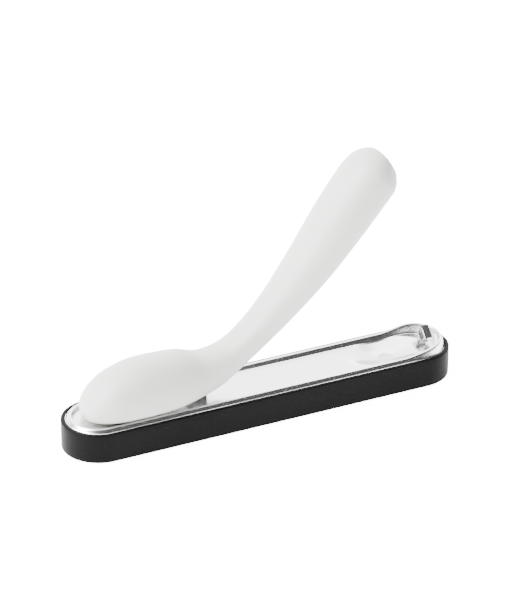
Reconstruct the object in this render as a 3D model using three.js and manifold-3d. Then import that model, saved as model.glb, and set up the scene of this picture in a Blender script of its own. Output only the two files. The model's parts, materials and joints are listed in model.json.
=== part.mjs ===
// Fingertip pulse oximeter, long-lever clip type, in millimetres.
// X runs along the base towards the finger end, Y across it, Z up. The origin is the middle of the footprint.
// A black base carries a pressed steel finger tray. A white rocker arm turns on a pin above the tray:
// its rear end is the thumb paddle, its front end the jaw that comes down on the fingertip.
import * as THREE from "three";
import { mergeVertices } from "three/addons/utils/BufferGeometryUtils.js";
import Module from "manifold-3d";

const wasm = await Module();
wasm.setup();

// ---- Driving dimensions ----
const base = { length: 134, width: 24, bottom: 0.5, top: 10.3, wall: 1.7, edge: 0.4 };
const cover = { gap: 0.3, thickness: 1.4 };
const tray = { inset: 1.4, sheet: 0.8, flange: 10.1, bead: 11.2, floor: 9.9 };
const nose = { start: 47, end: 62, rise: 1.9 };
const dish = { x: 45.5, halfLength: 14, halfWidth: 9.2, depth: 2.4 };
const seat = { x: -38, halfLength: 27, halfWidth: 9.4, depth: 0.7 };
const pivot = { x: -22, z: 15.6 };
const pin = { radius: 1.2, length: 10 };
const slot = { halfWidth: 3.2, radius: 3.3 };
const post = { width: 5, headRadius: 2.7 };
const shell = { wall: 1.8, seam: 0.16 };
const board = { x: -6, length: 62, width: 17, z: 3.6, thickness: 1 };
const usb = { x: 12, width: 9, height: 3.2, depth: 7 };
const button = { x: -31, z: 5.9, length: 7, height: 2.6, reach: -0.15 };
const bezel = { x: 60.7, side: 4.6, thickness: 2.4, hole: 3.1 };
const fit = 0.3; // clearance between neighbouring pieces

// ---- Materials ----
const finish = (color, roughness, metalness) => new THREE.MeshStandardMaterial({ color, roughness, metalness });
const blackPlastic = finish(0x2d2d2e, 0.42, 0);
const whitePlastic = finish(0xf1f1ec, 0.45, 0);
const steel = finish(0xd9dadb, 0.2, 1);
const darkSteel = finish(0x9a9c9f, 0.35, 1);
const rubber = finish(0x232324, 0.9, 0);
const silicone = finish(0xc9cdce, 0.7, 0);
const greenBoard = finish(0x1f5a3a, 0.6, 0);
const blackChip = finish(0x161617, 0.5, 0);
const clearLens = finish(0xe6eef0, 0.08, 0);
const copper = finish(0xb98a4a, 0.45, 0.6);
const foil = finish(0xb9bec4, 0.4, 0.5);
const redLens = finish(0xc43a34, 0.25, 0);
const darkLens = finish(0x3a2730, 0.25, 0);

// ---- Solid helpers ----
const root = new THREE.Group();

/** A closed geometry as a manifold-3d solid. */
function solidOf(geometry) {
  const bare = geometry.index ? geometry.toNonIndexed() : geometry.clone();
  for (const name of Object.keys(bare.attributes)) if (name !== "position") bare.deleteAttribute(name);
  const merged = mergeVertices(bare, 1e-4);
  const index = merged.index.array;
  const kept = [];
  for (let i = 0; i < index.length; i += 3) {
    const [a, b, c] = [index[i], index[i + 1], index[i + 2]];
    if (a !== b && b !== c && c !== a) kept.push(a, b, c);
  }
  const vertProperties = merged.attributes.position.array;
  return new wasm.Manifold(new wasm.Mesh({ numProp: 3, vertProperties, triVerts: new Uint32Array(kept) }));
}

/** A manifold-3d solid back as a geometry. */
function geometryOf(solid) {
  const mesh = solid.getMesh();
  const geometry = new THREE.BufferGeometry();
  geometry.setAttribute("position", new THREE.BufferAttribute(new Float32Array(mesh.vertProperties), 3));
  geometry.setIndex(new THREE.BufferAttribute(new Uint32Array(mesh.triVerts), 1));
  geometry.computeVertexNormals();
  return geometry;
}

/** Adds one named piece to the object. */
function piece(name, solid, material) {
  const mesh = new THREE.Mesh(geometryOf(solid), material);
  mesh.name = name;
  root.add(mesh);
}

const cut = (solid, ...tools) => tools.reduce((left, tool) => left.subtract(tool), solid);
const join = (solid, ...others) => others.reduce((sum, other) => sum.add(other), solid);

/** A box from its middle and its size. */
function block(x, y, z, sx, sy, sz) {
  return solidOf(new THREE.BoxGeometry(sx, sy, sz).translate(x, y, z));
}

/** An upright cylinder or cone frustum between two heights. */
function upright(x, y, low, high, radius, topRadius = radius, sides = 24) {
  const geometry = new THREE.CylinderGeometry(topRadius, radius, high - low, sides);
  return solidOf(geometry.rotateX(Math.PI / 2).translate(x, y, (low + high) / 2));
}

/** A cylinder lying along Y. */
function acrossY(x, y, z, radius, length, sides = 24) {
  return solidOf(new THREE.CylinderGeometry(radius, radius, length, sides).translate(x, y, z));
}

/** A long outline with round ends, centred on the origin. */
function stadium(length, width) {
  const r = width / 2;
  const c = length / 2 - r;
  const shape = new THREE.Shape();
  shape.moveTo(-c, -r);
  shape.lineTo(c, -r);
  shape.absarc(c, 0, r, -Math.PI / 2, Math.PI / 2, false);
  shape.lineTo(-c, r);
  shape.absarc(-c, 0, r, Math.PI / 2, (3 * Math.PI) / 2, false);
  return shape;
}

/** A stadium plate between two heights. An edge above 0 bevels its outer rims. */
function plate(length, width, low, high, edge = 0) {
  const bevel = { bevelEnabled: edge > 0, bevelThickness: edge, bevelSize: edge, bevelSegments: 2 };
  const outline = stadium(length - 2 * edge, width - 2 * edge);
  const depth = high - low - 2 * edge;
  const geometry = new THREE.ExtrudeGeometry(outline, { depth, curveSegments: 14, steps: 1, ...bevel });
  return solidOf(geometry.translate(0, 0, low + edge));
}

/** A side profile, as [x, z] points anticlockwise, made solid across Y. */
function slab(points, yLow, yHigh) {
  const shape = new THREE.Shape(points.map(([x, z]) => new THREE.Vector2(x, z)));
  const geometry = new THREE.ExtrudeGeometry(shape, { depth: yHigh - yLow, bevelEnabled: false });
  return solidOf(geometry.rotateX(Math.PI / 2).translate(0, yHigh, 0));
}

const smooth = (low, high, value) => THREE.MathUtils.smoothstep(value, low, high);

// ---- Base housing, cover, feet ----
const screwSpots = [-54, -20, 16, 50].map((x, i) => ({ x, y: i % 2 ? 7.2 : -7.2 }));
const footSpots = [[-60.5, 4.2], [-60.5, -4.2], [60.5, 4.2], [60.5, -4.2]];

function baseHousing() {
  const inner = base.wall * 2;
  const rebateFloor = tray.flange - tray.sheet - 0.1;
  const rebate = 2 * (tray.inset - fit);
  let housing = plate(base.length, base.width, base.bottom, base.top, base.edge);
  housing = cut(
    housing,
    plate(base.length - inner, base.width - inner, -1, base.top + 1),
    plate(base.length - rebate, base.width - rebate, rebateFloor, base.top + 1),
    plate(base.length - 2, base.width - 2, -1, base.bottom + cover.thickness),
  );
  const bosses = screwSpots.map(({ x, y }) =>
    block(x, Math.sign(y) * 9, 4.1, 5, 3.4, 3.8).subtract(upright(x, y, 0, 8, 1.1)),
  );
  const usbHole = block(usb.x, base.width / 2, board.z + 2.6, usb.width + 0.6, 6, usb.height + 0.6);
  const buttonHole = block(button.x, base.width / 2, button.z, button.length + 0.5, 6, button.height + 0.5);
  return cut(join(housing, ...bosses), usbHole, buttonHole);
}

function bottomCover() {
  const size = 2 + 2 * cover.gap;
  let lid = plate(base.length - size, base.width - size, base.bottom, base.bottom + cover.thickness);
  const holes = screwSpots.map(({ x, y }) => upright(x, y, 0, 4, 1.2));
  const sinks = screwSpots.map(({ x, y }) => upright(x, y, 0, base.bottom + 0.7, 2.1));
  const recesses = footSpots.map(([x, y]) => upright(x, y, 0, base.bottom + 0.4, 3.3));
  return cut(lid, ...holes, ...sinks, ...recesses);
}

/** A small countersunk screw pointing up, its head at the bottom, with a cross recess. */
function screw(x, y, low, length, headRadius = 1.7, shankRadius = 0.8) {
  const head = upright(x, y, low, low + 0.6, headRadius);
  const shank = upright(x, y, low + 0.5, low + length, shankRadius, shankRadius * 0.8, 16);
  const recess = join(block(x, y, low, 2, 0.5, 0.5), block(x, y, low, 0.5, 2, 0.5));
  return cut(join(head, shank), recess);
}

// ---- Finger tray ----
const trayLength = base.length - 2 * tray.inset;
const trayRadius = base.width / 2 - tray.inset;
const trayReach = trayLength / 2 - trayRadius;

/** Depth share of an oval hollow: 1 in its middle, 0 at its edge, level at both. */
function hollow(x, y, { x: cx, halfLength, halfWidth }) {
  const r = Math.hypot((x - cx) / halfLength, y / halfWidth);
  return r < 1 ? (1 - r * r) ** 1.4 : 0;
}

/** Height of the tray's upper face at a point, where inset is the distance in from its outer edge. */
function trayHeight(x, y, inset) {
  const outside = smooth(0, 1.1, inset);
  const inside = 1 - smooth(1.6, 2.8, inset);
  const bead = tray.bead + nose.rise * smooth(nose.start, nose.end, x);
  const level = tray.flange + (bead - tray.flange) * outside;
  const rim = tray.floor + (level - tray.floor) * inside;
  const sunk = dish.depth * hollow(x, y, dish) + seat.depth * hollow(x, y, seat);
  return rim - sunk * smooth(2, 3.4, inset);
}

/** The tray as a sheet: rings of points from its edge in to its middle line, above and below. */
function trayBlank() {
  const insets = [0, 0.45, 1.1, 1.6, 2.2, 2.8, 3.4, 5, 7.5, trayRadius];
  const straight = 22;
  const round = 13;
  const path = [];
  for (let i = 0; i < straight; i++) path.push({ x: -trayReach + (2 * trayReach * i) / straight, a: -Math.PI / 2 });
  for (let i = 0; i < round; i++) path.push({ x: trayReach, a: -Math.PI / 2 + (Math.PI * i) / round });
  for (let i = 0; i < straight; i++) path.push({ x: trayReach - (2 * trayReach * i) / straight, a: Math.PI / 2 });
  for (let i = 0; i < round; i++) path.push({ x: -trayReach, a: Math.PI / 2 + (Math.PI * i) / round });
  const points = [];
  for (const under of [0, 1])
    for (const inset of insets)
      for (const { x, a } of path) {
        const r = inset === trayRadius ? 0 : trayRadius - inset;
        const px = x + r * Math.cos(a);
        const py = r ? r * Math.sin(a) : 0;
        points.push(px, py, trayHeight(px, py, inset) - under * tray.sheet);
      }
  const n = path.length;
  const rings = insets.length;
  const at = (under, ring, i) => (under * rings + ring) * n + (i % n);
  const faces = [];
  const quad = (a, b, c, d) => faces.push(a, b, c, a, c, d);
  for (let i = 0; i < n; i++) {
    for (let ring = 0; ring + 1 < rings; ring++) {
      quad(at(0, ring, i), at(0, ring, i + 1), at(0, ring + 1, i + 1), at(0, ring + 1, i));
      quad(at(1, ring, i + 1), at(1, ring, i), at(1, ring + 1, i), at(1, ring + 1, i + 1));
    }
    quad(at(1, 0, i), at(1, 0, i + 1), at(0, 0, i + 1), at(0, 0, i));
  }
  const geometry = new THREE.BufferGeometry();
  geometry.setAttribute("position", new THREE.BufferAttribute(new Float32Array(points), 3));
  geometry.setIndex(faces);
  return solidOf(geometry);
}

const rivet = { x: bezel.x - 3.5, z: tray.floor - 0.2 };
const windowHole = { radius: 2.6, top: tray.floor - dish.depth };

function fingerTray() {
  return cut(
    trayBlank(),
    upright(dish.x, 0, 4, 14, windowHole.radius + fit, windowHole.radius + fit, 32),
    block(pivot.x, 0, 10, post.width + 1.4, post.width + 0.6, 6),
    upright(rivet.x, 0, 4, 14, 0.9, 0.9, 16),
  );
}

function detectorWindow() {
  const bezel = upright(dish.x, 0, windowHole.top - 0.9, windowHole.top - 0.05, windowHole.radius, windowHole.radius, 32);
  const back = upright(dish.x, 0, windowHole.top - 1.3, windowHole.top - 0.85, windowHole.radius + 1.3);
  return join(bezel, back);
}

/** End sensor bezel: a square frame standing on one corner, on a foot that follows the tray and is riveted to it. */
function sensorBezel() {
  const frame = block(0, 0, 0, bezel.thickness, bezel.side, bezel.side);
  const ring = cut(frame, block(0, 0, 0, bezel.thickness + 1, bezel.hole, bezel.hole));
  const standing = ring.rotate([45, 0, 0]).translate([bezel.x - bezel.thickness / 2, 0, rivet.z + bezel.side / Math.SQRT2]);
  const foot = block(bezel.x - 2.4, 0, rivet.z - 0.1, 4.8, 2.6, 1.8);
  const sheet = trayBlank();
  const shadow = [-0.7, -0.2, fit].map((lift) => sheet.translate([0, 0, lift]));
  return cut(join(standing, foot), ...shadow, upright(rivet.x, 0, 6, 14, 0.75, 0.75, 16));
}

/** The dark window of the end sensor, held in its bezel. */
function sensorWindow() {
  const size = bezel.hole - 0.12;
  const plug = block(0, 0, 0, bezel.thickness - 0.3, size, size).rotate([45, 0, 0]);
  return plug.translate([bezel.x - bezel.thickness / 2, 0, rivet.z + bezel.side / Math.SQRT2]);
}

function bezelRivet() {
  const shank = upright(rivet.x, 0, rivet.z - 2.4, rivet.z + 1.1, 0.45, 0.45, 16);
  return join(shank, upright(rivet.x, 0, rivet.z + 1.08, rivet.z + 1.4, 0.95, 0.7, 16));
}

// ---- Hinge bracket: a foot under the tray and a post that passes up through it ----
function hingeBracket() {
  const foot = block(pivot.x, 0, 7.4, 16, 8, 1.2);
  const stem = block(pivot.x, 0, (7.4 + pivot.z) / 2, post.headRadius * 2, post.width, pivot.z - 7.4);
  const head = acrossY(pivot.x, 0, pivot.z, post.headRadius, post.width, 28);
  const holes = [-5.6, 5.6].map((dx) => upright(pivot.x + dx, 0, 5, 10, 1.1));
  return cut(join(foot, stem, head), ...holes, acrossY(pivot.x, 0, pivot.z, pin.radius + 0.1, 20));
}

/** Friction washer: a thin disc on the pin, between the post and the arm. */
function frictionWasher(side) {
  const y = side * (post.width / 2 + 0.32);
  return cut(acrossY(pivot.x, y, pivot.z, 2.5, 0.4), acrossY(pivot.x, y, pivot.z, pin.radius + 0.1, 2));
}

// ---- Rocker arm ----
// Stations along the arm: the middle of each section, its half width, and how far it reaches above and below.
const stations = [
  { x: -61.0, z: 13.0, half: 0.6, up: 0.6, down: 0.6 },
  { x: -59.7, z: 13.1, half: 4.9, up: 3.5, down: 1.9 },
  { x: -56.4, z: 13.4, half: 8.1, up: 7.0, down: 2.8 },
  { x: -51.0, z: 13.8, half: 10.0, up: 10.6, down: 3.4 },
  { x: -43.0, z: 14.0, half: 10.6, up: 13.0, down: 3.6 },
  { x: -32.5, z: 14.3, half: 10.2, up: 13.0, down: 3.5 },
  { x: -23.5, z: 15.6, half: 8.7, up: 11.4, down: 3.6 },
  { x: -16.3, z: 18.4, half: 7.2, up: 7.2, down: 4.8 },
  { x: -8.0, z: 23.4, half: 6.2, up: 4.6, down: 4.6 },
  { x: 3.6, z: 33.0, half: 6.9, up: 5.0, down: 5.0 },
  { x: 16.7, z: 47.0, half: 8.8, up: 6.7, down: 6.3 },
  { x: 27.5, z: 60.6, half: 10.0, up: 8.0, down: 7.4 },
  { x: 35.4, z: 70.6, half: 10.2, up: 8.4, down: 8.0 },
  { x: 37.4, z: 73.0, half: 10.1, up: 8.3, down: 8.1 },
  { x: 39.9, z: 75.2, half: 9.7, up: 7.8, down: 7.8 },
  { x: 42.3, z: 76.8, half: 8.0, up: 6.4, down: 6.6 },
  { x: 44.0, z: 77.7, half: 5.3, up: 4.2, down: 4.6 },
  { x: 44.9, z: 78.2, half: 0.4, up: 0.4, down: 0.4 },
];
const spine = new THREE.CatmullRomCurve3(stations.map(({ x, z }) => new THREE.Vector3(x, 0, z)), false, "centripetal");

/** A station value eased along the arm, at share t of its stations. */
function along(key, t) {
  const place = t * (stations.length - 1);
  const i = Math.min(Math.floor(place), stations.length - 2);
  const pick = (k) => stations[Math.min(Math.max(k, 0), stations.length - 1)][key];
  const curve = new THREE.SplineCurve([i - 1, i, i + 1, i + 2].map((k) => new THREE.Vector2(k, pick(k))));
  return curve.getPoint((place - i + 1) / 3).y;
}

/** The arm's frame at share t: middle, forward and upward directions. */
function armFrame(t) {
  const middle = spine.getPoint(t);
  const forward = spine.getTangent(t);
  return { middle, forward, up: new THREE.Vector3(-forward.z, 0, forward.x) };
}

/** The arm's body between two shares, thinned by a wall all round: superellipse sections along its spine. */
function armBody(from, to, thin, count, sides) {
  const points = [];
  for (let k = 0; k <= count; k++) {
    const t = from + ((to - from) * k) / count;
    const { middle, up } = armFrame(t);
    const half = Math.max(along("half", t) - thin, 0.3);
    const rise = Math.max(along("up", t) - thin, 0.3);
    const drop = Math.max(along("down", t) - thin, 0.3);
    for (let s = 0; s < sides; s++) {
      const a = (2 * Math.PI * s) / sides;
      const flat = Math.sin(a) < 0 ? 0.72 : 0.92;
      const across = half * Math.sign(Math.cos(a)) * Math.abs(Math.cos(a)) ** 0.9;
      const lift = (Math.sin(a) < 0 ? drop : rise) * Math.sign(Math.sin(a)) * Math.abs(Math.sin(a)) ** flat;
      points.push(middle.x + up.x * lift, across, middle.z + up.z * lift);
    }
  }
  const first = armFrame(from).middle;
  const last = armFrame(to).middle;
  points.push(first.x, 0, first.z, last.x, 0, last.z);
  const faces = [];
  const at = (k, s) => k * sides + (s % sides);
  const ends = (count + 1) * sides;
  for (let s = 0; s < sides; s++) {
    for (let k = 0; k < count; k++) {
      faces.push(at(k, s), at(k, s + 1), at(k + 1, s + 1), at(k, s), at(k + 1, s + 1), at(k + 1, s));
    }
    faces.push(ends, at(0, s + 1), at(0, s), ends + 1, at(count, s), at(count, s + 1));
  }
  const geometry = new THREE.BufferGeometry();
  geometry.setAttribute("position", new THREE.BufferAttribute(new Float32Array(points), 3));
  geometry.setIndex(faces);
  return solidOf(geometry);
}

/** Everything below the parting line, which runs low along the arm and through the pin's axis. */
function belowParting(shift) {
  const line = [];
  for (let k = 0; k <= 40; k++) {
    const { middle, up } = armFrame(k / 40);
    const drop = along("down", k / 40) * 0.47 - shift;
    line.push([middle.x - up.x * drop, middle.z - up.z * drop]);
  }
  const [startX, startZ] = line[0];
  const [endX, endZ] = line[line.length - 1];
  const far = 40;
  return slab([[startX - far, startZ], [startX - far, -far], [endX + far, -far], [endX + far, endZ + far / 2], ...line.reverse()], -20, 20);
}

/** A point in the arm's side plane, at share t and a distance up from its spine. */
function armPoint(t, lift) {
  const { middle, up } = armFrame(t);
  return [middle.x + up.x * lift, middle.z + up.z * lift];
}

/** A solid made flat around the origin, laid into the arm at share t: its X forward, its Z up. */
function inArm(solid, t, lift) {
  const { forward } = armFrame(t);
  const [x, z] = armPoint(t, lift);
  const lean = (-Math.atan2(forward.z, forward.x) * 180) / Math.PI;
  return solid.rotate([0, lean, 0]).translate([x, 0, z]);
}

const pad = { t: 0.637, length: 28, width: 12, depth: 1.15 };
const opticsShare = 0.647;
const armScrews = [0.136, 0.475, 0.557];

/** The slot that the post swings in: from straight down to the far end of the arm's travel. */
function postSlot() {
  const reach = [[-3.1, 0.4], [-3.1, -9], [1.6, -9], [9.4, -4.2], [2.6, 2], [0, 3.1]];
  const swing = slab(reach.map(([x, z]) => [pivot.x + x, pivot.z + z]), -slot.halfWidth, slot.halfWidth);
  return join(swing, acrossY(pivot.x, 0, pivot.z, slot.radius, 2 * slot.halfWidth, 32));
}

function armHollows() {
  const rear = armBody(0.062, 0.305, shell.wall, 10, 20);
  const front = armBody(0.415, 0.85, shell.wall, 12, 20);
  const [ax, az] = armPoint(0.29, 4.5);
  const [bx, bz] = armPoint(0.37, 5.5);
  const [cx, cz] = armPoint(0.435, 1);
  const duct = slab([[ax, az], [bx, bz], [cx, cz], [cx - 1, cz + 2], [bx - 1, bz + 2], [ax, az + 2]], -2, 2);
  return [rear, front, duct];
}

/** The strip of the arm's underside that the finger pad fills, grown by a clearance. */
function padStrip(grow) {
  return inArm(block(0, 0, -6, pad.length + 2 * grow, pad.width + 2 * grow, 12), pad.t, -1);
}

function buildArm() {
  const outer = armBody(0, 1, 0, 40, 26);
  const pinBore = acrossY(pivot.x, 0, pivot.z, pin.radius + 0.15, pin.length + 0.4);
  const hollowed = cut(outer, ...armHollows(), postSlot(), pinBore);
  const bosses = armScrews.map((t) => inArm(upright(0, 0, -6, 20, 2.3), t, 0).intersect(outer));
  const bored = armScrews.map((t) => inArm(upright(0, 0, -14, 3, 0.95, 0.95, 16), t, 0));
  const heads = armScrews.map((t) => inArm(upright(0, 0, -14, 0.9, 2), t, -along("down", t)));
  const body = cut(join(hollowed, ...bosses), ...bored, postSlot(), pinBore);
  const upper = body.subtract(belowParting(shell.seam / 2));
  let lower = body.intersect(belowParting(-shell.seam / 2));
  const padSpace = outer.intersect(padStrip(0.15)).subtract(armBody(0.5, 0.83, pad.depth, 13, 24));
  const windowHole = inArm(upright(0, 0, -9, 0, 2.9, 2.9, 28), opticsShare, -1);
  lower = cut(lower, ...heads, padSpace, windowHole);
  return { outer, upper, lower };
}

const { outer: armOuter, upper: upperShell, lower: lowerShell } = buildArm();

/** The silicone pad under the jaw, level with the arm's skin. */
function fingerPad() {
  const kept = armOuter.intersect(padStrip(-0.15)).subtract(armBody(0.5, 0.83, pad.depth - 0.45, 13, 24));
  return cut(kept, inArm(upright(0, 0, -10, 0, 2.9, 2.9, 28), opticsShare, -1));
}

const skin = (t) => -along("down", t);

/** A flat cable of ribbon laid inside the arm, following the spine at a height above it. */
function ribbonAlong(from, to, lift, yLow, yHigh) {
  const low = [];
  const high = [];
  for (let k = 0; k <= 16; k++) {
    const t = from + ((to - from) * k) / 16;
    low.push(armPoint(t, lift));
    high.push(armPoint(t, lift + 0.3));
  }
  return slab([...low, ...high.reverse()], yLow, yHigh);
}

// ---- Assemble ----
piece("base_housing", baseHousing(), blackPlastic);
piece("bottom_cover", bottomCover(), blackPlastic);
screwSpots.forEach(({ x, y }, i) => piece(`cover_screw_${i + 1}`, screw(x, y, base.bottom + 0.1, 4.6), darkSteel));
footSpots.forEach(([x, y], i) => piece(`foot_${i + 1}`, upright(x, y, 0, base.bottom + 0.35, 3), rubber));
piece("finger_tray", fingerTray(), steel);
piece("detector_window", detectorWindow(), clearLens);
piece("end_sensor_bezel", sensorBezel(), steel);
piece("bezel_rivet", bezelRivet(), steel);
piece("end_sensor_window", sensorWindow(), darkLens);
piece("hinge_bracket", hingeBracket(), steel);
[-5.6, 5.6].forEach((dx, i) => piece(`bracket_screw_${i + 1}`, screw(pivot.x + dx, 0, 6.15, 2.05, 1.7, 0.8), darkSteel));
[["near", -1], ["far", 1]].forEach(([word, side]) => piece(`friction_washer_${word}`, frictionWasher(side), copper));

const boardTop = board.z + board.thickness;
piece("main_board", block(board.x, 0, board.z + board.thickness / 2, board.length, board.width, board.thickness)
  .subtract(block(-20, 9, 4, 6, 5, 6)).subtract(block(16, -9, 4, 6, 5, 6)), greenBoard);
piece("processor_chip", block(4, 0, boardTop + 0.5, 7, 7, 0.9), blackChip);
piece("radio_module", block(18, -1.5, boardTop + 0.8, 9, 8, 1.5), foil);
piece("usb_socket", cut(
  block(usb.x, base.width / 2 - 0.5 - usb.depth / 2, board.z + 2.6, usb.width, usb.depth, usb.height),
  block(usb.x, base.width / 2 - 1.6, board.z + 2.6, usb.width - 0.8, 5, usb.height - 0.8),
), darkSteel);
piece("button_switch", block(button.x, 5.7, boardTop + 1.1, 5, 3.2, 2), darkSteel);
piece("detector_board", block(dish.x, 0, 3.5, 14, 12, 0.8), greenBoard);
piece("photodetector", block(dish.x, 0, 4.7, 3.4, 3.4, 1.4), blackChip);
piece("detector_ribbon", block(34.2, 0, 4.3, 17, 5, 0.3), copper);
piece("hinge_ribbon", block(-31, 0, 5.1, 12, 4, 0.3), copper);


/** The power button: a cap through the wall, a flange that keeps it in, and a stem towards its switch. */
function powerButton() {
  const inside = base.width / 2 - base.wall - fit;
  const face = base.width / 2 + button.reach;
  const cap = block(button.x, (face + inside) / 2, button.z, button.length, face - inside + 0.2, button.height);
  const flange = block(button.x, inside - 0.4, button.z, button.length + 1.4, 0.8, button.height + 1);
  return join(cap, flange, block(button.x, inside - 1.3, button.z, 3, 1.4, 1.4));
}
piece("power_button", powerButton(), blackPlastic);

piece("arm_upper_shell", upperShell, whitePlastic);
piece("arm_lower_shell", lowerShell, whitePlastic);
piece("hinge_pin", acrossY(pivot.x, 0, pivot.z, pin.radius - 0.15, pin.length, 28), darkSteel);
piece("battery_cell", block(-44, 0, 17.4, 16, 11, 5.6), foil);
piece("charger_board", block(-44, 0, 21.4, 12, 8, 0.8), greenBoard);
piece("emitter_board", inArm(block(0, 0, 0, 13, 9, 0.8), opticsShare, skin(opticsShare) + 4.4), greenBoard);
[["red_led", -1.1, redLens], ["infrared_led", 1.1, darkLens]].forEach(([name, dx, material]) =>
  piece(name, inArm(block(dx, 0, 0, 1.6, 2.2, 0.9), opticsShare, skin(opticsShare) + 3.4), material));
const lens = join(upright(0, 0, 0.1, 2.5, 2.6, 2.6, 28), upright(0, 0, 2.4, 2.8, 3.2, 3.2, 28));
piece("emitter_window", inArm(lens, opticsShare, skin(opticsShare)), clearLens);
piece("finger_pad", fingerPad(), silicone);
armScrews.forEach((t, i) => piece(`arm_screw_${i + 1}`, inArm(screw(0, 0, 0, 5.4, 1.6, 0.7), t, skin(t) + 0.25), darkSteel));
piece("arm_ribbon", ribbonAlong(0.5, 0.62, 0.4, 2.6, 4.4), copper);

export default root;
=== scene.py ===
"""Finger sensor with a rocker arm, in metres: a black base, a polished tray and a white arm with a padded jaw."""

import json
import math

import bmesh
import bpy
import numpy as np
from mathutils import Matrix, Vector


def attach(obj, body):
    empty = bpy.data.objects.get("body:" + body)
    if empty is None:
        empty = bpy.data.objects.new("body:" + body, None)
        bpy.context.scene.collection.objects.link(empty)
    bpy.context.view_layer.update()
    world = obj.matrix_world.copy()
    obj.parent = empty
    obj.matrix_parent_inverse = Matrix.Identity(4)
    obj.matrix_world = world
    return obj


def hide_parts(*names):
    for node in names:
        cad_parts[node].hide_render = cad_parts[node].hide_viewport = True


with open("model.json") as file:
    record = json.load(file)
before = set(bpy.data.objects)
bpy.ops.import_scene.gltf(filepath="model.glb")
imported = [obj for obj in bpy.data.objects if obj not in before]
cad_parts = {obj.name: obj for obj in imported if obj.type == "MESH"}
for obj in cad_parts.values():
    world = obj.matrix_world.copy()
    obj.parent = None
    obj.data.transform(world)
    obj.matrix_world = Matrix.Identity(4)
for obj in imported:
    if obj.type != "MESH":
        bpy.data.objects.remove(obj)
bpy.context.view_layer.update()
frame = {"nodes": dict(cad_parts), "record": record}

MM = 0.001


# ---- Meshes from grids ----


def new_piece(name, points, faces, material, body, replaced, smooth=30):
    """A mesh object from arrays of points in millimetres and quads, welded, riding on a body."""
    mesh = bpy.data.meshes.new(name)
    mesh.from_pydata((np.asarray(points) * MM).tolist(), [], np.asarray(faces).tolist())
    mesh.validate()
    obj = bpy.data.objects.new(name, mesh)
    bpy.context.scene.collection.objects.link(obj)
    soft = bmesh.new()
    soft.from_mesh(mesh)
    bmesh.ops.remove_doubles(soft, verts=soft.verts, dist=1e-6)
    bmesh.ops.dissolve_degenerate(soft, edges=soft.edges, dist=1e-6)
    bmesh.ops.recalc_face_normals(soft, faces=soft.faces)
    soft.to_mesh(mesh)
    soft.free()
    mesh.shade_smooth()
    mesh.set_sharp_from_angle(angle=math.radians(smooth))
    mesh.materials.append(material)
    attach(obj, body)
    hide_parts(*replaced)


def walled(outer, inner, keep, wrap=False, meet=False):
    """
    A closed skin between two grids of points, shaped (rows, columns, 3). Cells where keep is true get an
    outer and an inner face; each edge between a kept cell and a left-out one, or the grid's border, gets a
    wall from the outer grid to the inner one. With wrap, the rows run round in a ring. With meet, the last
    column closes on itself at a middle point or line, and gets no wall.
    """
    rows, cols = outer.shape[:2]
    index = np.arange(rows * cols).reshape(rows, cols)
    down = np.vstack([index[1:], index[:1]]) if wrap else index[1:]
    here = index if wrap else index[:-1]
    a, b, c, d = here[:, :-1], here[:, 1:], down[:, 1:], down[:, :-1]
    shift = rows * cols
    top = np.stack([a, b, c, d], -1)[keep]
    under = np.stack([d, c, b, a], -1)[keep] + shift
    edge = np.zeros((keep.shape[0] + 2, keep.shape[1] + 2), bool)
    edge[1:-1, 1:-1] = keep
    if wrap:
        edge[0, 1:-1], edge[-1, 1:-1] = keep[-1], keep[0]
    if meet:
        edge[1:-1, -1] = keep[:, -1]
    around = (
        (edge[:-2, 1:-1], b, a),
        (edge[2:, 1:-1], d, c),
        (edge[1:-1, :-2], a, d),
        (edge[1:-1, 2:], c, b),
    )
    walls = []
    for neighbour, start, end in around:
        at = keep & ~neighbour
        walls.append(np.stack([start[at], end[at], end[at] + shift, start[at] + shift], -1))
    points = np.concatenate([outer.reshape(-1, 3), inner.reshape(-1, 3)])
    return points, np.concatenate([top, under, *walls])


# ---- Base: a wall profile carried round a long outline with round ends ----

LENGTH, WIDTH, BOTTOM, TOP = 134.0, 24.0, 0.5, 10.3
REACH = (LENGTH - WIDTH) / 2
BASE_WALL, DECK = 1.7, 1.3
FOOT_ROUND, SHOULDER_ROUND, LEDGE, STEP = 0.45, 0.35, 1.1, 0.8
USB = {"x": 12.0, "half": 4.8, "low": 4.3, "high": 8.1}
BUTTON = {"x": -31.0, "half": 3.75, "low": 4.35, "high": 7.45}


def outline(straights, arc):
    """Round-ended outline: its middle line's x and outward angle for each step, anticlockwise from the near side."""
    turn = np.linspace(-math.pi / 2, math.pi / 2, arc, endpoint=False)
    near = np.stack([straights, np.full(len(straights), -math.pi / 2)], 1)
    right = np.stack([np.full(arc, REACH), turn], 1)
    far = np.stack([straights[::-1], np.full(len(straights), math.pi / 2)], 1)
    left = np.stack([np.full(arc, -REACH), turn + math.pi], 1)
    return np.concatenate([near, right[1:], far, left[1:]])


def carried(path, depth, height):
    """Points at each depth and height: x + r cos(a), r sin(a), where r is half the width less the depth."""
    r = WIDTH / 2 - np.asarray(depth)[None, :]
    x = path[:, :1] + r * np.cos(path[:, 1:])
    y = r * np.sin(path[:, 1:])
    return np.stack([x, y, np.broadcast_to(height, x.shape)], -1)


def rounded(corner, start, end, radius, steps=6):
    """A quarter arc about corner from one angle to another, as depths and heights."""
    a = np.radians(np.linspace(start, end, steps))
    return np.stack([corner[0] - radius * np.cos(a), corner[1] + radius * np.sin(a)], 1)


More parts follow.
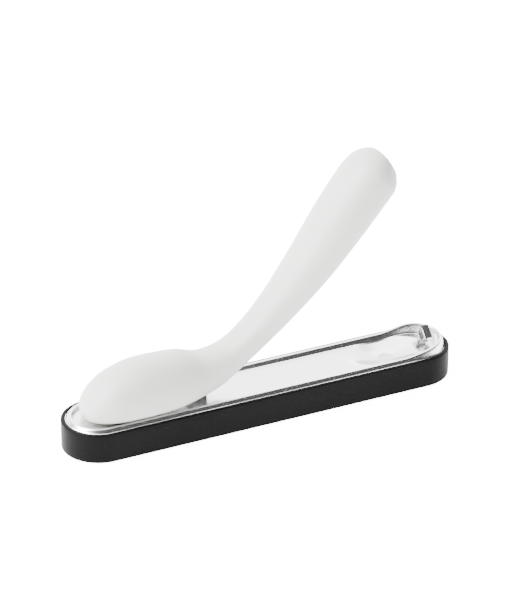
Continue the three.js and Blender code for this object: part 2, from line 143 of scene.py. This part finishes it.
def base_shell(material):
    """
    The black housing. Its outer skin is a profile up the wall: small rounds of 0.45 mm at the foot and 0.35 mm
    at the shoulder, a flat ledge, and a step down to the tray. Its inner skin is the wall's inside. The socket
    and the button have windows in the far wall.
    """
    marks = [USB["x"] + s * USB["half"] for s in (-1, 1)] + [BUTTON["x"] + s * BUTTON["half"] for s in (-1, 1)]
    straights = np.unique(np.concatenate([np.linspace(-REACH, REACH, 56), marks]))
    path = outline(straights, 49)
    levels = np.array([BUTTON["low"] - 1.6, USB["low"], BUTTON["low"], BUTTON["high"], USB["high"]])
    wall = np.stack([np.zeros(5), levels], 1)
    foot = rounded((FOOT_ROUND, BOTTOM + FOOT_ROUND), -90, 0, FOOT_ROUND)
    shoulder = rounded((SHOULDER_ROUND, TOP - SHOULDER_ROUND), 0, 90, SHOULDER_ROUND)
    step = np.array([[LEDGE - 0.1, TOP], [LEDGE - 0.04, TOP - 0.05], [LEDGE, TOP - 0.15], [LEDGE, TOP - STEP]])
    skin = np.concatenate([foot, wall, shoulder, step])
    outer = carried(path, skin[:, 0], skin[:, 1])
    inner = carried(path, np.maximum(skin[:, 0], BASE_WALL), np.clip(skin[:, 1], BOTTOM, TOP - DECK))
    ahead = np.roll(outer, -1, 0)
    x = (outer[:, :-1, 0] + outer[:, 1:, 0] + ahead[:, :-1, 0] + ahead[:, 1:, 0]) / 4
    z = (skin[:-1, 1] + skin[1:, 1]) / 2
    flat = WIDTH / 2 - 0.1
    far = (outer[:, :-1, 1] > flat) & (ahead[:, :-1, 1] > flat)
    keep = np.ones(x.shape, bool)
    for hole in (USB, BUTTON):
        level = (z > hole["low"]) & (z < hole["high"]) & (skin[:-1, 0] < 0.01) & (skin[1:, 0] < 0.01)
        keep &= ~(far & (abs(x - hole["x"]) < hole["half"]) & level[None, :])
    points, faces = walled(outer, inner, keep, wrap=True)
    new_piece("base_shell", points, faces, material, "base", ["base_housing"])


# ---- Tray: a pressed sheet as a height over the outline ----

INSET, FLANGE, BEAD, FLOOR, SHEET = 1.4, 10.1, 11.2, 9.9, 0.8
NOSE = {"start": 47.0, "end": 62.0, "rise": 1.9}
DISH = {"x": 45.5, "long": 14.0, "wide": 9.2, "depth": 2.4}
SEAT = {"x": -38.0, "long": 27.0, "wide": 9.4, "depth": 0.7}


def eased(low, high, value):
    """0 below low, 1 above high, and 3t^2 - 2t^3 between."""
    t = np.clip((value - low) / (high - low), 0, 1)
    return t * t * (3 - 2 * t)


def hollow(x, y, oval):
    """Depth share of an oval hollow: (1 - r^2)^1.4, where r is 1 on the oval."""
    r = np.hypot((x - oval["x"]) / oval["long"], y / oval["wide"])
    return np.clip(1 - r * r, 0, 1) ** 1.4


def tray_height(x, y, inset):
    """Upper face of the tray: a flange, a rounded bead that rises round the finger end, and a hollowed floor."""
    bead = BEAD + NOSE["rise"] * eased(NOSE["start"], NOSE["end"], x)
    level = FLANGE + (bead - FLANGE) * eased(0, 1.1, inset)
    rim = FLOOR + (level - FLOOR) * (1 - eased(1.6, 2.8, inset))
    sunk = DISH["depth"] * hollow(x, y, DISH) + SEAT["depth"] * hollow(x, y, SEAT)
    return rim - sunk * eased(2, 3.4, inset)


def tray_sheet(material):
    """
    The tray as rings in from its edge to its middle line, at x + r cos(a), r sin(a), where r is the edge's
    radius less the inset and z is tray_height. Its under face is 0.8 mm below.
    """
    path = outline(np.linspace(-REACH, REACH, 221), 73)
    edge = WIDTH / 2 - INSET
    insets = np.concatenate([np.linspace(0, 3.6, 34), np.linspace(3.9, edge, 22)])
    r = edge - insets[None, :]
    x = path[:, :1] + r * np.cos(path[:, 1:])
    y = r * np.sin(path[:, 1:])
    z = tray_height(x, y, np.broadcast_to(insets, x.shape))
    upper = np.stack([x, y, z], -1)
    lower = upper - [0, 0, SHEET]
    keep = np.ones((x.shape[0], x.shape[1] - 1), bool)
    points, faces = walled(upper, lower, keep, wrap=True, meet=True)
    new_piece("polished_tray", points, faces, material, "base", ["finger_tray"], 50)


# ---- Arm: superellipse sections along a curved spine ----

# Each row: the spine's x and z, then the half width, the reach above the spine and the reach below it.
STATIONS = np.array(
    [
        [-61.0, 13.0, 0.6, 0.6, 0.6],
        [-59.7, 13.1, 4.9, 3.5, 1.9],
        [-56.4, 13.4, 8.1, 7.0, 2.8],
        [-51.0, 13.8, 10.0, 10.6, 3.4],
        [-43.0, 14.0, 10.6, 13.0, 3.6],
        [-32.5, 14.3, 10.2, 13.0, 3.5],
        [-23.5, 15.6, 8.7, 11.4, 3.6],
        [-16.3, 18.4, 7.2, 7.2, 4.8],
        [-8.0, 23.4, 6.2, 4.6, 4.6],
        [3.6, 33.0, 6.9, 5.0, 5.0],
        [16.7, 47.0, 8.8, 6.7, 6.3],
        [27.5, 60.6, 10.0, 8.0, 7.4],
        [35.4, 70.6, 10.2, 8.4, 8.0],
        [37.4, 73.0, 10.1, 8.3, 8.1],
        [39.9, 75.2, 9.7, 7.8, 7.8],
        [42.3, 76.8, 8.0, 6.4, 6.6],
        [44.0, 77.7, 5.3, 4.2, 4.6],
        [44.9, 78.2, 0.4, 0.4, 0.4],
    ]
)
# The seam lies 0.47 of the way down the lower half of each section.
SEAM = math.degrees(math.asin(0.47 ** (1 / 0.72)))
SEAM_GAP = 0.35
ARM_WALL = 1.8
HINGE_SLOT = {"half": 3.2, "start": -25.1, "end": -12.8}


def hermite(w, p1, p2, m1, m2):
    """The cubic through p1 and p2 with slopes m1 and m2, at share w."""
    return (
        (2 * w**3 - 3 * w**2 + 1) * p1
        + (w**3 - 2 * w**2 + w) * m1
        + (3 * w**2 - 2 * w**3) * p2
        + (w**3 - w**2) * m2
    )


def spine(t):
    """Points (x, z) of the centripetal Catmull-Rom curve through the stations, at shares t of the stations."""
    p = STATIONS[:, :2]
    p = np.vstack([2 * p[0] - p[1], p, 2 * p[-1] - p[-2]])
    place = np.clip(t, 0, 1) * (len(STATIONS) - 1)
    i = np.minimum(place.astype(int), len(STATIONS) - 2)
    p0, p1, p2, p3 = p[i], p[i + 1], p[i + 2], p[i + 3]
    d0, d1, d2 = (np.linalg.norm(b - a, axis=-1)[..., None] ** 0.5 for a, b in ((p0, p1), (p1, p2), (p2, p3)))
    m1 = ((p1 - p0) / d0 - (p2 - p0) / (d0 + d1) + (p2 - p1) / d1) * d1
    m2 = ((p2 - p1) / d1 - (p3 - p1) / (d1 + d2) + (p3 - p2) / d2) * d1
    return hermite((place - i)[..., None], p1, p2, m1, m2)


def sizes(t):
    """Half width, reach above and reach below the spine, eased between the stations by a Catmull-Rom curve."""
    v = STATIONS[:, 2:]
    last = len(v) - 1
    place = np.clip(t, 0, 1) * last
    i = np.minimum(place.astype(int), last - 1)
    v0, v1, v2, v3 = v[np.maximum(i - 1, 0)], v[i], v[i + 1], v[np.minimum(i + 2, last)]
    return hermite((place - i)[..., None], v1, v2, (v2 - v0) / 2, (v3 - v1) / 2)


def arm_frame(t):
    """Spine points and the unit direction square to the spine, upwards."""
    here = spine(t)
    ahead = spine(np.clip(t + 1e-4, 0, 1)) - spine(np.clip(t - 1e-4, 0, 1))
    ahead /= np.linalg.norm(ahead, axis=-1, keepdims=True)
    return here, np.stack([-ahead[..., 1], ahead[..., 0]], -1)


def placed(t, across, lift):
    """Points from shares along the arm, distances across it and distances above its spine."""
    here, up = arm_frame(t)
    return np.stack([here[..., 0] + up[..., 0] * lift, across, here[..., 1] + up[..., 1] * lift], -1)


def arm_skin(t, degrees, thin):
    """Superellipse skin: half cos^0.9 across, and reach times sin^0.92 above the spine or sin^0.72 below it."""
    reach = np.maximum(sizes(t) - thin, 0.05)
    c, s = np.cos(np.radians(degrees)), np.sin(np.radians(degrees))
    across = reach[..., 0] * np.sign(c) * abs(c) ** 0.9
    lift = np.where(s < 0, -reach[..., 2] * abs(s) ** 0.72, reach[..., 1] * abs(s) ** 0.92)
    return placed(t, across, lift)


def arm_shells(material):
    """
    The two shells of the arm, one each side of the seam. Each is arm_skin over a range of angles, with an inner
    skin 1.8 mm smaller that starts and ends a little way in from the arm's ends. Both skins close at a point on
    the spine, and the lower shell is left open over the hinge.
    """
    for name, start, end, steps, node in (
        ("arm_cover", -SEAM, 180 + SEAM, 121, "arm_upper_shell"),
        ("arm_belly", 180 + SEAM + SEAM_GAP, 360 - SEAM - SEAM_GAP, 81, "arm_lower_shell"),
    ):
        tt, dd = np.meshgrid(np.linspace(0, 1, 241), np.linspace(start, end, steps), indexing="ij")
        within = 0.02 + 0.955 * tt
        outer, inner = arm_skin(tt, dd, 0), arm_skin(within, dd, ARM_WALL)
        for skin, share in ((outer, tt), (inner, within)):
            skin[[0, -1]] = placed(share[[0, -1]], 0 * share[[0, -1]], 0)
        middle = (outer[:-1, :-1] + outer[1:, 1:]) / 2
        keep = np.ones(middle.shape[:2], bool)
        if name == "arm_belly":
            along = (middle[..., 0] > HINGE_SLOT["start"]) & (middle[..., 0] < HINGE_SLOT["end"])
            keep &= ~(along & (abs(middle[..., 1]) < HINGE_SLOT["half"]))
        points, faces = walled(outer, inner, keep)
        new_piece(name, points, faces, material, "arm", [node], 40)


def under_arm(t, across, out):
    """Points on the arm's underside at distances across it, moved out from its skin."""
    reach = sizes(t)
    c = np.clip(abs(across) / reach[..., 0], 0, 1) ** (1 / 0.9)
    return placed(t, across, -reach[..., 2] * (1 - c * c) ** 0.36 - out)


PAD = {"middle": 0.637, "half_share": 0.0545, "half_width": 5.95, "crown": 0.32, "sunk": 0.35}


def jaw_pad(material):
    """
    The soft pad on the arm's underside, over u and v from -1 to 1. Its half width is 5.95 mm times the twelfth
    root of 1 - u^12. It rises 0.32 mm times the root of the edge share, 1 - max(u, v)^10, with faint cross ribs.
    """
    u, v = np.meshgrid(np.linspace(-1, 1, 91), np.linspace(-1, 1, 41), indexing="ij")
    t = PAD["middle"] + u * PAD["half_share"]
    across = PAD["half_width"] * v * (1 - abs(u) ** 12) ** (1 / 12)
    edge = np.clip(1 - np.maximum(abs(u), abs(v)) ** 10, 0, 1)
    ribs = 0.05 * np.cos(u * 38) * edge
    outer = under_arm(t, across, -0.1 + PAD["crown"] * edge**0.5 + ribs)
    inner = under_arm(t, across, np.full(u.shape, -PAD["sunk"]))
    points, faces = walled(inner, outer, np.ones((90, 40), bool))
    new_piece("jaw_pad", points, faces, material, "arm", ["finger_pad"], 60)


def round_lens(name, surface, radius, rise, material, body, node):
    """A shallow round lens on a surface(x, y, out): rings out to the radius, crowned by rise with a rolled edge."""
    a, r = np.meshgrid(np.linspace(0, 2 * math.pi, 64, endpoint=False), np.linspace(1, 0, 22), indexing="ij")
    x, y = radius * r * np.cos(a), radius * r * np.sin(a)
    top = surface(x, y, rise * (1 - r**8) ** 0.5)
    under = surface(x, y, np.full(r.shape, -0.3))
    points, faces = walled(top, under, np.ones((64, 21), bool), wrap=True, meet=True)
    new_piece(name, points, faces, material, body, [node], 60)


def dish_surface(x, y, out):
    """Points over the middle of the tray's dish."""
    px = DISH["x"] + x
    return np.stack([px, y, tray_height(px, y, np.full(x.shape, 9.0)) + out], -1)


def jaw_surface(x, y, out):
    """Points on the jaw's underside round the emitter; dividing x in millimetres by 290 gives a share of the arm."""
    return under_arm(0.647 + x / 290, y, out)


# ---- Materials ----


def group(name, sockets, build):
    """A node group with named float or colour inputs and outputs, filled in by build."""
    tree = bpy.data.node_groups.new(name, "ShaderNodeTree")
    for label, kind, way, value in sockets:
        made = tree.interface.new_socket(name=label, in_out=way, socket_type=kind)
        if value is not None:
            made.default_value = value
    build(tree, tree.nodes.new("NodeGroupInput"), tree.nodes.new("NodeGroupOutput"))
    return tree


def noise(tree, vector, scale, detail=3.0, roughness=0.5):
    """A noise texture node on a vector."""
    node = tree.nodes.new("ShaderNodeTexNoise")
    node.inputs["Scale"].default_value = scale
    node.inputs["Detail"].default_value = detail
    node.inputs["Roughness"].default_value = roughness
    tree.links.new(vector, node.inputs["Vector"])
    return node.outputs["Fac"]


def ranged(tree, value, low, high, new_low, new_high):
    """A value mapped from one range to another and clamped."""
    node = tree.nodes.new("ShaderNodeMapRange")
    for key, number in (("From Min", low), ("From Max", high), ("To Min", new_low), ("To Max", new_high)):
        node.inputs[key].default_value = number
    tree.links.new(value, node.inputs["Value"])
    return node.outputs["Result"]


def stretched(tree, scale):
    """Object coordinates stretched by a scale for each axis."""
    place = tree.nodes.new("ShaderNodeTexCoord").outputs["Object"]
    mapping = tree.nodes.new("ShaderNodeMapping")
    mapping.inputs["Scale"].default_value = scale
    tree.links.new(place, mapping.inputs["Vector"])
    return mapping.outputs["Vector"]


def multiply_add(tree, value, factor, added):
    """A value times a factor plus an amount, each of the last two a socket or a number."""
    node = tree.nodes.new("ShaderNodeMath")
    node.operation = "MULTIPLY_ADD"
    tree.links.new(value, node.inputs[0])
    for socket, source in zip(node.inputs[1:], (factor, added)):
        if isinstance(source, float):
            socket.default_value = source
        else:
            tree.links.new(source, socket)
    return node.outputs[0]


FLOAT, COLOUR = "NodeSocketFloat", "NodeSocketColor"


def build_moulded_group(tree, enter, leave):
    """Moulded grain: fine noise for the height, and broad soft noise that shades the colour and the roughness."""
    grain = noise(tree, stretched(tree, (1, 1, 1)), 2600, 2)
    broad = noise(tree, stretched(tree, (1, 1, 1)), 45, 3)
    tint = tree.nodes.new("ShaderNodeMix")
    tint.data_type = "RGBA"
    tree.links.new(ranged(tree, broad, 0.35, 0.65, 0, 1), tint.inputs["Factor"])
    tree.links.new(enter.outputs["Colour"], tint.inputs["A"])
    tree.links.new(enter.outputs["Second colour"], tint.inputs["B"])
    tree.links.new(tint.outputs["Result"], leave.inputs["Colour"])
    rough = multiply_add(tree, broad, enter.outputs["Spread"], enter.outputs["Roughness"])
    tree.links.new(rough, leave.inputs["Roughness"])
    tree.links.new(grain, leave.inputs["Height"])


MOULDED = group(
    "moulded_grain",
    [
        ("Colour", COLOUR, "INPUT", (0.5, 0.5, 0.5, 1)),
        ("Second colour", COLOUR, "INPUT", (0.5, 0.5, 0.5, 1)),
        ("Roughness", FLOAT, "INPUT", 0.4),
        ("Spread", FLOAT, "INPUT", 0.1),
        ("Colour", COLOUR, "OUTPUT", None),
        ("Roughness", FLOAT, "OUTPUT", None),
        ("Height", FLOAT, "OUTPUT", None),
    ],
    build_moulded_group,
)


def build_drawn_group(tree, enter, leave):
    """Drawn metal: streaks along the base's length for the height, and soft wiping marks in the roughness."""
    streaks = noise(tree, stretched(tree, (12, 900, 300)), 1, 2)
    wiped = noise(tree, stretched(tree, (60, 140, 60)), 1, 4, 0.6)
    rough = multiply_add(tree, wiped, enter.outputs["Spread"], enter.outputs["Roughness"])
    tree.links.new(rough, leave.inputs["Roughness"])
    tree.links.new(streaks, leave.inputs["Height"])


DRAWN = group(
    "drawn_metal",
    [
        ("Roughness", FLOAT, "INPUT", 0.2),
        ("Spread", FLOAT, "INPUT", 0.1),
        ("Roughness", FLOAT, "OUTPUT", None),
        ("Height", FLOAT, "OUTPUT", None),
    ],
    build_drawn_group,
)


def material(name, tree_group, values, bump, shader):
    """A Principled material that reads one of the groups, with a bump and its own shader values."""
    made = bpy.data.materials.new(name)
    made.use_nodes = True
    tree = made.node_tree
    surface = tree.nodes["Principled BSDF"]
    for key, value in shader.items():
        surface.inputs[key].default_value = value
    effect = tree.nodes.new("ShaderNodeGroup")
    effect.node_tree = tree_group
    for key, value in values.items():
        effect.inputs[key].default_value = value
    tree.links.new(effect.outputs["Roughness"], surface.inputs["Roughness"])
    if "Colour" in effect.outputs:
        tree.links.new(effect.outputs["Colour"], surface.inputs["Base Color"])
    relief = tree.nodes.new("ShaderNodeBump")
    relief.inputs["Strength"].default_value = bump[0]
    relief.inputs["Distance"].default_value = bump[1]
    tree.links.new(effect.outputs["Height"], relief.inputs["Height"])
    tree.links.new(relief.outputs["Normal"], surface.inputs["Normal"])
    return made


def moulded(name, colour, second, roughness, spread=0.1, bump=(0.15, 0.0001), **shader):
    """Plastic, rubber or lacquer with a moulded grain."""
    values = {"Colour": (*colour, 1), "Second colour": (*second, 1), "Roughness": roughness, "Spread": spread}
    return material(name, MOULDED, values, bump, {"Metallic": 0.0, **shader})


def metal(name, colour, roughness, spread=0.1, bump=(0.05, 0.00005), **shader):
    """Metal with drawn streaks and wiping marks."""
    values = {"Roughness": roughness, "Spread": spread}
    return material(name, DRAWN, values, bump, {"Base Color": (*colour, 1), "Metallic": 1.0, **shader})


FINISH = {
    "black_plastic": moulded(
        "black_satin", (0.002, 0.002, 0.0022), (0.003, 0.003, 0.0032), 0.38, 0.12, **{"Specular IOR Level": 0.038}
    ),
    "white_plastic": moulded("white_satin", (0.53, 0.53, 0.513), (0.55, 0.55, 0.532), 0.42, 0.08, (0.06, 0.00006)),
    "polished_steel": metal("polished_steel", (0.86, 0.865, 0.865), 0.18, 0.12, (0.03, 0.00003)),
    "dark_steel": metal("plain_steel", (0.45, 0.46, 0.47), 0.30, 0.15),
    "rubber": moulded("black_rubber", (0.02, 0.02, 0.02), (0.028, 0.028, 0.028), 0.75, 0.1, (0.4, 0.0002)),
    "silicone": moulded("grey_silicone", (0.27, 0.28, 0.285), (0.31, 0.32, 0.325), 0.62, 0.1, (0.2, 0.0001)),
    "circuit_board": moulded("green_lacquer", (0.01, 0.11, 0.05), (0.015, 0.14, 0.06), 0.3, 0.1),
    "chip": moulded("black_resin", (0.012, 0.012, 0.012), (0.02, 0.02, 0.02), 0.5, 0.1),
    "clear_lens": moulded("frosted_lens", (0.86, 0.87, 0.87), (0.88, 0.89, 0.89), 0.12, 0.06, (0.02, 0.00002)),
    "copper": metal("bronze", (0.62, 0.42, 0.22), 0.3, 0.15),
    "foil": metal("foil", (0.66, 0.68, 0.70), 0.32, 0.15),
    "red_lens": moulded("red_resin", (0.55, 0.04, 0.03), (0.6, 0.05, 0.04), 0.15, 0.05),
    "dark_lens": moulded("smoked_resin", (0.010, 0.010, 0.012), (0.016, 0.016, 0.018), 0.15, 0.05),
}

base_shell(FINISH["black_plastic"])
tray_sheet(FINISH["polished_steel"])
arm_shells(FINISH["white_plastic"])
jaw_pad(FINISH["silicone"])
round_lens("dish_lens", dish_surface, 2.7, 0.06, FINISH["clear_lens"], "base", "detector_window")
round_lens("jaw_lens", jaw_surface, 2.5, 0.3, FINISH["clear_lens"], "arm", "emitter_window")

for part in frame["record"]["subparts"]:
    cad_node = frame["nodes"][part["node"]]
    cad_node.data.materials.clear()
    cad_node.data.materials.append(FINISH[part["material_slot"]])

# ---- Floor, light and camera ----


FLOOR_GLOW, SEEN_GLOW = 3.2, 11.0
FLOOR_GAP = 0.00005


def floor():
    """A pale floor with a soft sweep up behind: level out to 1.2 m, then rising as the square of the distance.

    It glows at strength 3.2, and at 14.2 where the camera sees it, so it stays white without lighting the part more.
    """
    x, y = np.meshgrid(np.linspace(-3, 3, 61), np.linspace(-2, 4, 61), indexing="ij")
    z = 0.25 * np.clip(y - 1.2, 0, None) ** 2 - FLOOR_GAP
    cells = np.arange(x.size).reshape(x.shape)
    quads = np.stack([cells[:-1, :-1], cells[1:, :-1], cells[1:, 1:], cells[:-1, 1:]], -1).reshape(-1, 4)
    mesh = bpy.data.meshes.new("floor")
    mesh.from_pydata(np.stack([x, y, z], -1).reshape(-1, 3).tolist(), [], quads.tolist())
    mesh.shade_smooth()
    glow = {"Emission Color": (1, 1, 1, 1)}
    pale = moulded("pale_floor", (0.93, 0.93, 0.93), (0.94, 0.94, 0.94), 0.9, 0.05, **glow)
    tree = pale.node_tree
    seen = tree.nodes.new("ShaderNodeLightPath").outputs["Is Camera Ray"]
    strength = multiply_add(tree, seen, SEEN_GLOW, FLOOR_GLOW)
    tree.links.new(strength, tree.nodes["Principled BSDF"].inputs["Emission Strength"])
    mesh.materials.append(pale)
    obj = bpy.data.objects.new("floor", mesh)
    bpy.context.scene.collection.objects.link(obj)


def softbox(name, place, aim, size, power):
    """A rectangular area light at a place, turned towards a point."""
    data = bpy.data.lights.new(name, "AREA")
    data.shape = "RECTANGLE"
    data.size, data.size_y = size
    data.energy = power
    obj = bpy.data.objects.new(name, data)
    bpy.context.scene.collection.objects.link(obj)
    place, aim = np.array(place), np.array(aim)
    obj.location = place
    obj.rotation_mode = "QUATERNION"
    obj.rotation_quaternion = Vector(aim - place).to_track_quat("-Z", "Y")


def camera(azimuth, elevation, distance, lens, aim):
    """The camera at a distance from the point it aims at, looking along the azimuth and down by the elevation."""
    a, e = math.radians(-azimuth), math.radians(elevation)
    ahead = Vector((math.sin(a) * math.cos(e), math.cos(a) * math.cos(e), -math.sin(e)))
    data = bpy.data.cameras.new("camera")
    data.lens = lens
    data.sensor_width = 36
    data.clip_start, data.clip_end = 0.01, 50
    obj = bpy.data.objects.new("camera", data)
    bpy.context.scene.collection.objects.link(obj)
    obj.location = Vector(aim) - ahead * distance
    obj.rotation_mode = "QUATERNION"
    obj.rotation_quaternion = ahead.to_track_quat("-Z", "Y")
    bpy.context.scene.camera = obj


def studio_world():
    """A white room of strength 1.3 that darkens to 0.1 towards the near right, above the floor."""
    world = bpy.data.worlds.new("studio")
    world.use_nodes = True
    tree = world.node_tree
    way = tree.nodes.new("ShaderNodeVectorMath")
    way.operation = "DOT_PRODUCT"
    way.inputs[1].default_value = (0.25, -0.83, 0.5)
    tree.links.new(tree.nodes.new("ShaderNodeTexCoord").outputs["Generated"], way.inputs[0])
    strength = ranged(tree, way.outputs["Value"], 0.0, 0.7, 1.3, 0.1)
    background = tree.nodes["Background"]
    background.inputs["Color"].default_value = (1, 1, 1, 1)
    tree.links.new(strength, background.inputs["Strength"])
    bpy.context.scene.world = world


floor()
studio_world()
softbox("key_box", (-0.85, 0.1, 0.95), (-0.02, 0, 0.03), (0.9, 0.9), 78)
softbox("top_box", (0.1, 0.45, 1.1), (0, 0, 0.02), (1.2, 0.8), 16)
softbox("back_box", (0.9, 1.6, 0.95), (0, 0, 0.01), (3.0, 1.7), 60)
camera(-25.685, 27.662, 1.0, 191.1, (-0.0001, 0.0040, 0.0369))
